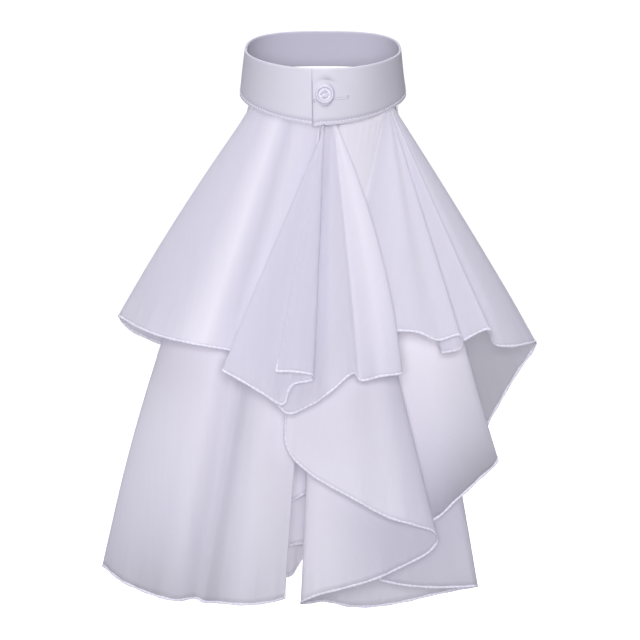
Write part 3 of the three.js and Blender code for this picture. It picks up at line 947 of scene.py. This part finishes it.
@dataclass
class Flounce:
    """A sheet of chiffon sewn under the collar's lower edge, with folds that open toward its hem."""

    cut: Cut
    collar: CollarBand
    half_spread: float = 170.0
    fold_depth: float = 100.0
    layer_pitch: float = 2.2
    gather: float = 0.75
    cloth: float = 0.35
    tuck: float = 1.2
    hem_width: float = 1.9
    hem_thickness: float = 1.1
    hem_pitch: float = 0.8
    hem_sides: int = 10
    hem_from: int = 3
    side_hem: float = 0.26
    stitch_swell: float = 0.08
    stitch_pitch: float = 3.1
    slow_swell: float = 0.14
    slow_pitch: float = 17.0
    fold_steps: int = 12
    levels: int = 64
    pleat: float = 0.12
    pleat_pitch: float = 6.5
    pleat_fade: float = 18.0
    ripple: float = 0.7
    ripple_rise: float = 22.0

    def seam(self, at: Array, layer: Array) -> Array:
        """Points of the seam, hidden behind the band's lower edge."""
        outward = -self.collar.wall / 2 + layer * self.layer_pitch
        points = self.collar.point(at, np.zeros_like(at), outward)
        points[:, 2] += self.tuck
        return points

    def surface(self) -> tuple[Array, Array, Array, Array]:
        """Works out the sheet on a grid of columns from the seam to the hem.

        Column i joins a seam point to a hem point, both on centripetal curves through the fold rows. Down it
        x and z run straight, with a sideways swell of belly * 4v(1 - v), and y follows v^gather, so that the
        cloth springs forward from the seam. Gathers are a sine of the seam's length that fades below the
        band, and ripples a sum of three sines of the hem's length that grows toward the hem. The painted
        light and shade goes over to the hem's with v^4.

        Returns:
            The points, unit normals, cloth coordinates and painted light and shade, by column and level.
        """
        rows = np.array(self.cut.folds, dtype=float)
        scale = np.array([self.half_spread, -self.fold_depth, -self.cut.drop])
        hem = centripetal(rows[:, 2:5] * scale, self.fold_steps)
        track = centripetal(rows[:, [0, 1, 5]] * [1, 1, self.half_spread], self.fold_steps)
        at, layer, belly = track.T
        high = self.seam(at, layer)
        v = np.linspace(0.0, 1.0, self.levels) ** 0.9
        low, top, down = hem[:, None], high[:, None], v[None, :]
        x = mix(top[..., 0], low[..., 0], down) + belly[:, None] * 4 * down * (1 - down)
        y = mix(top[..., 1], low[..., 1], down**self.gather)
        z = mix(top[..., 2], low[..., 2], down)
        points = np.stack([x, y, z], axis=-1)
        normal = self.normals(points)
        length = np.linalg.norm(hem - high, axis=1)[:, None]
        drop = down * length
        along_hem, along_seam = run_length(hem)[:, None], run_length(high)[:, None]
        pleats = self.pleat * np.sin(2 * np.pi * along_seam / self.pleat_pitch + self.cut.phase)
        pleats = pleats * smooth(drop, 1.0, 6.0) * np.exp(-drop / self.pleat_fade)
        waves = sum(
            share * np.sin(2 * np.pi * along_hem / pitch + self.cut.phase * turn)
            for share, pitch, turn in ((0.6, 37.0, 1.0), (0.35, 19.0, 2.3), (0.2, 9.0, 3.7)))
        waves = self.ripple * waves * bell(length - drop, 0.0, self.ripple_rise)
        points = points + normal * (pleats + waves)[..., None]
        spread = mix(0.35, 1.0, down)
        flat = np.stack(np.broadcast_arrays(along_hem * spread, drop), axis=-1)
        # Painted light and shade of the cloth, from the fold rows' table
        row, most, last = np.array(self.cut.painted_shading).T
        track_row = np.arange(len(hem)) / self.fold_steps
        most, last = (np.interp(track_row, row, share)[:, None] for share in (most, last))
        return points, self.normals(points), flat, mix(most, last, down**4)

    @staticmethod
    def normals(points: Array) -> Array:
        """Unit normals of a grid of points, from the differences along and down it."""
        return unit(np.cross(np.gradient(points, axis=0), np.gradient(points, axis=1)))

    def build(self, finish: Material, hem_finish: Material) -> None:
        """Args:
            finish: the cloth's material.
            hem_finish: the hem's material.
        """
        points, normal, flat, painted_shading = self.surface()
        sheet = make_object(self.cut.name, points, grid_faces(*points.shape[:2]), flat * MM, painted_shading)
        wall = sheet.modifiers.new("wall", "SOLIDIFY")
        wall.thickness = self.cloth * MM
        wall.offset = 0.0
        hem = self.hem(points, normal)
        dress(sheet, finish)
        dress(hem, hem_finish)
        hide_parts(self.cut.node)

    def hem(self, points: Array, normal: Array) -> Piece:
        """Rolls the hem: an oval tube along both side edges and the lower edge.

        Its long way lies in the cloth and its short way across it. The tube swells a little at each stitch
        and in slow waves, and is slimmer up the side edges.

        Args:
            points: the sheet's grid.
            normal: its normals.

        Returns:
            The hem.
        """
        sides = slice(self.hem_from, -1)
        line, off = (
            np.concatenate([grid[0, sides], grid[:, -1], grid[-1, sides][::-1]]) for grid in (points, normal))
        at, line, off = spaced(line, self.hem_pitch, off)
        off = unit(off)
        along = unit(np.gradient(line, axis=0))
        across = unit(np.cross(off, along))
        swell = 1.0 + self.stitch_swell * np.sin(2 * np.pi * at / self.stitch_pitch)
        swell = swell + self.slow_swell * np.sin(2 * np.pi * at / self.slow_pitch + self.cut.phase)
        first, last = (run_length(points[edge, self.hem_from :])[-1] for edge in (0, -1))
        low = np.minimum(smooth(at, first - 12, first), smooth(at[-1] - at, last - 12, last))
        ends = np.minimum(smooth(at, 0, 4), smooth(at[-1] - at, 0, 4)) * 0.9 + 0.1
        girth = swell * ends * mix(self.side_hem, 1.0, low) / 2
        ring = self.hem_sides
        corners = tube(line, across, off, self.hem_width * girth, self.hem_thickness * girth, ring)
        a = np.linspace(0.0, 1.0, ring, endpoint=False)
        uv = np.stack(np.broadcast_arrays(at[:, None], a[None] * self.hem_width * 2), axis=-1) * MM
        faces = [list(f) for f in grid_faces(len(line), ring, wrap=True)]
        last = (len(line) - 1) * ring
        faces += [list(range(ring))[::-1], list(range(last, last + ring))]
        return make_object(self.cut.name + "_hem", corners, faces, uv)


# Button


@dataclass
class CollarButton:
    """Four-hole resin button at the front of the collar, sewn on with two bars of thread."""

    collar: CollarBand
    node: str = "collar_button"
    thickness: float = 2.4
    dish: float = 0.8
    hole_spacing: float = 3.6
    thread: float = 0.34

    def build(self, resin: Material, thread: Material) -> None:
        """Dresses the button of the frame and sews it on.

        Args:
            resin: the button's material.
            thread: the thread's material.
        """
        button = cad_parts[self.node]
        for slot in button.material_slots:
            slot.material = resin
        collar, at, up = self.collar, self.collar.button_at, self.collar.button_up
        lap = collar.wall + collar.clearance
        low, high = collar.point([at, at], [0.0, 1.0], lap)
        tall = unit(high - low)
        before, after = collar.point([at - 1, at + 1], [up, up], 0.0)
        along = unit(after - before)
        out = unit(np.cross(along, tall))
        face = self.thickness - self.dish + collar.clearance
        centre = collar.point([at], [up], lap + collar.clearance)[0]
        bars = np.tile(centre + out * face, (6, 1))
        half = self.hole_spacing / 2
        rise = np.repeat([-half, half], 3) + np.tile([-self.thread, 0.0, self.thread], 2) * 1.3
        bars = bars + tall * rise[:, None]
        corners, faces = threads(bars, np.tile(along, (6, 1)), np.tile(out, (6, 1)),
                                 self.hole_spacing + 0.9, self.thread)
        dress(make_object("button_thread", corners, faces), thread)


# Studio


@dataclass
class Studio:
    """White studio: pale floor, white surround, soft light from the front and a camera."""

    target: tuple[float, float, float] = (-2.3, 0.0, -191.0)
    distance: float = 2400.0
    elevation: float = 1.5
    focal_pixels: float = 3120.0
    image_pixels: float = 640.0
    sensor: float = 36.0
    floor_level: float = -560.0
    floor_reach: float = 9000.0
    floor_glow: float = 0.75
    backdrop: float = 1.05
    surround: float = 0.27
    lean: float = 0.15
    ceiling: float = 2.0
    ceiling_power: float = 4.0
    tint: str = "#f7f6ff"
    through_cloth: float = 0.4
    lamp_place: tuple[float, float, float] = (0.0, -2.7, 0.0)
    lamp_size: float = 0.7
    lamp_power: float = 50.0
    bounces: int = 10

    def camera(self) -> None:
        """Sets the camera at the photograph's angle, with a long lens and no shift."""
        data = bpy.data.cameras.new("camera")
        data.sensor_width = self.sensor
        data.lens = self.focal_pixels * self.sensor / self.image_pixels
        camera = bpy.data.objects.new("camera", data)
        tilt = math.radians(self.elevation)
        away = Vector((0.0, -math.cos(tilt), math.sin(tilt))) * self.distance
        camera.location = (Vector(self.target) + away) * MM
        camera.rotation_euler = (math.radians(90.0 - self.elevation), 0.0, 0.0)
        bpy.context.scene.collection.objects.link(camera)
        bpy.context.scene.camera = camera

    def lamp(self) -> None:
        """Adds a square soft light in front of the object, that faces it."""
        data = bpy.data.lights.new("front", "AREA")
        data.size = self.lamp_size
        data.energy = self.lamp_power
        data.color = linear(self.tint)[:3]
        lamp = bpy.data.objects.new("front", data)
        lamp.location = self.lamp_place
        aim = Vector(self.target) * MM - Vector(self.lamp_place)
        lamp.rotation_euler = aim.to_track_quat("-Z", "Y").to_euler()
        lamp.visible_camera = False
        bpy.context.scene.collection.objects.link(lamp)

    def world(self) -> None:
        """White surround: full white where it is seen past the cloth, softer as light and through the cloth.

        As light it is surround - lean right + ceiling up^power, where right and up are the parts of the
        direction that point that way: a pale room, brighter on its left, under a bright ceiling.
        """
        world = bpy.data.worlds.new("surround")
        world.use_nodes = True
        tree = world.node_tree
        tree.nodes.clear()
        white = add(tree, "Background", {"Color": WHITE, "Strength": self.backdrop})
        way = add(tree, "SeparateXYZ", {0: add(tree, "TexCoord").outputs["Generated"]})
        walls = maths(tree, "MULTIPLY_ADD", way.outputs["X"], -self.lean, self.surround)
        narrow = maths(tree, "POWER", maths(tree, "MAXIMUM", way.outputs["Z"], 0.0), self.ceiling_power)
        glow = maths(tree, "MULTIPLY_ADD", narrow, self.ceiling, walls)
        soft = add(tree, "Background", {"Color": linear(self.tint), "Strength": glow})
        both = mixed(tree, self.seen_directly(tree), soft, white)
        add(tree, "OutputWorld", {"Surface": both.outputs[0]})
        bpy.context.scene.world = world

    @staticmethod
    def seen_directly(tree: Tree) -> Socket:
        """Socket that is 1 where nothing see-through lies before the backdrop, for backdrops only."""
        path = add(tree, "LightPath")
        first = maths(tree, "LESS_THAN", path.outputs["Transparent Depth"], 0.5)
        return maths(tree, "MULTIPLY", path.outputs["Is Camera Ray"], first)

    def floor(self) -> None:
        """Lays a pale floor well below the hem."""
        square = np.array([[-1, -1, 0], [1, -1, 0], [1, 1, 0], [-1, 1, 0]])
        corner = square * self.floor_reach + [0.0, 0.0, self.floor_level]
        floor = make_object("studio_floor", corner, [[0, 1, 2, 3]])
        material, tree = empty_material("pale_studio_floor")
        paint = add(tree, "BsdfPrincipled", {
            "Base Color": linear("#f7f7f8"), "Roughness": 0.9,
            "Emission Color": WHITE, "Emission Strength": self.floor_glow})
        dull = add(tree, "Emission", {"Color": WHITE, "Strength": self.through_cloth})
        both = mixed(tree, self.seen_directly(tree), dull, paint)
        add(tree, "OutputMaterial", {"Surface": both.outputs[0]})
        floor.data.materials.append(material)
        floor.visible_diffuse = False
        floor.visible_transmission = False

    def build(self) -> None:
        """Sets up camera, light and floor in the scene's own colours."""
        self.camera()
        self.world()
        self.floor()
        self.lamp()
        scene = bpy.context.scene
        scene.view_settings.view_transform = "Standard"
        scene.view_settings.look = "None"
        # White cloth in layers is bright inside only when light may pass between them many times
        scene.cycles.max_bounces = self.bounces
        scene.cycles.diffuse_bounces = self.bounces
        scene.cycles.transmission_bounces = self.bounces
        scene.cycles.transparent_max_bounces = 2 * self.bounces


def main() -> None:
    """Builds the studio and the jabot piece by piece, and reports each piece."""
    logging.basicConfig(level=logging.INFO, format="%(message)s")
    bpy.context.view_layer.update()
    Studio().build()
    chiffon, hem = Chiffon().material(), RolledHem().material()
    poplin, thread, resin = Poplin().material(), SewingThread().material(), Resin().material()
    twist = SewingThread("buttonhole_twist", "#d4d1da").material()
    collar = CollarBand()
    band = collar.build()
    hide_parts("collar_band")
    for piece, material in ((band, poplin), (collar.topstitch(), thread), (collar.buttonhole(), twist)):
        dress(piece, material)
    for cut in (LEFT_UPPER, LEFT_LOWER, CENTRE_FAN, RIGHT_UPPER, RIGHT_CASCADE, INNER):
        Flounce(cut, collar).build(chiffon, hem)
    CollarButton(collar).build(resin, twist)
    bpy.context.view_layer.update()


if __name__ == "__main__":
    main()
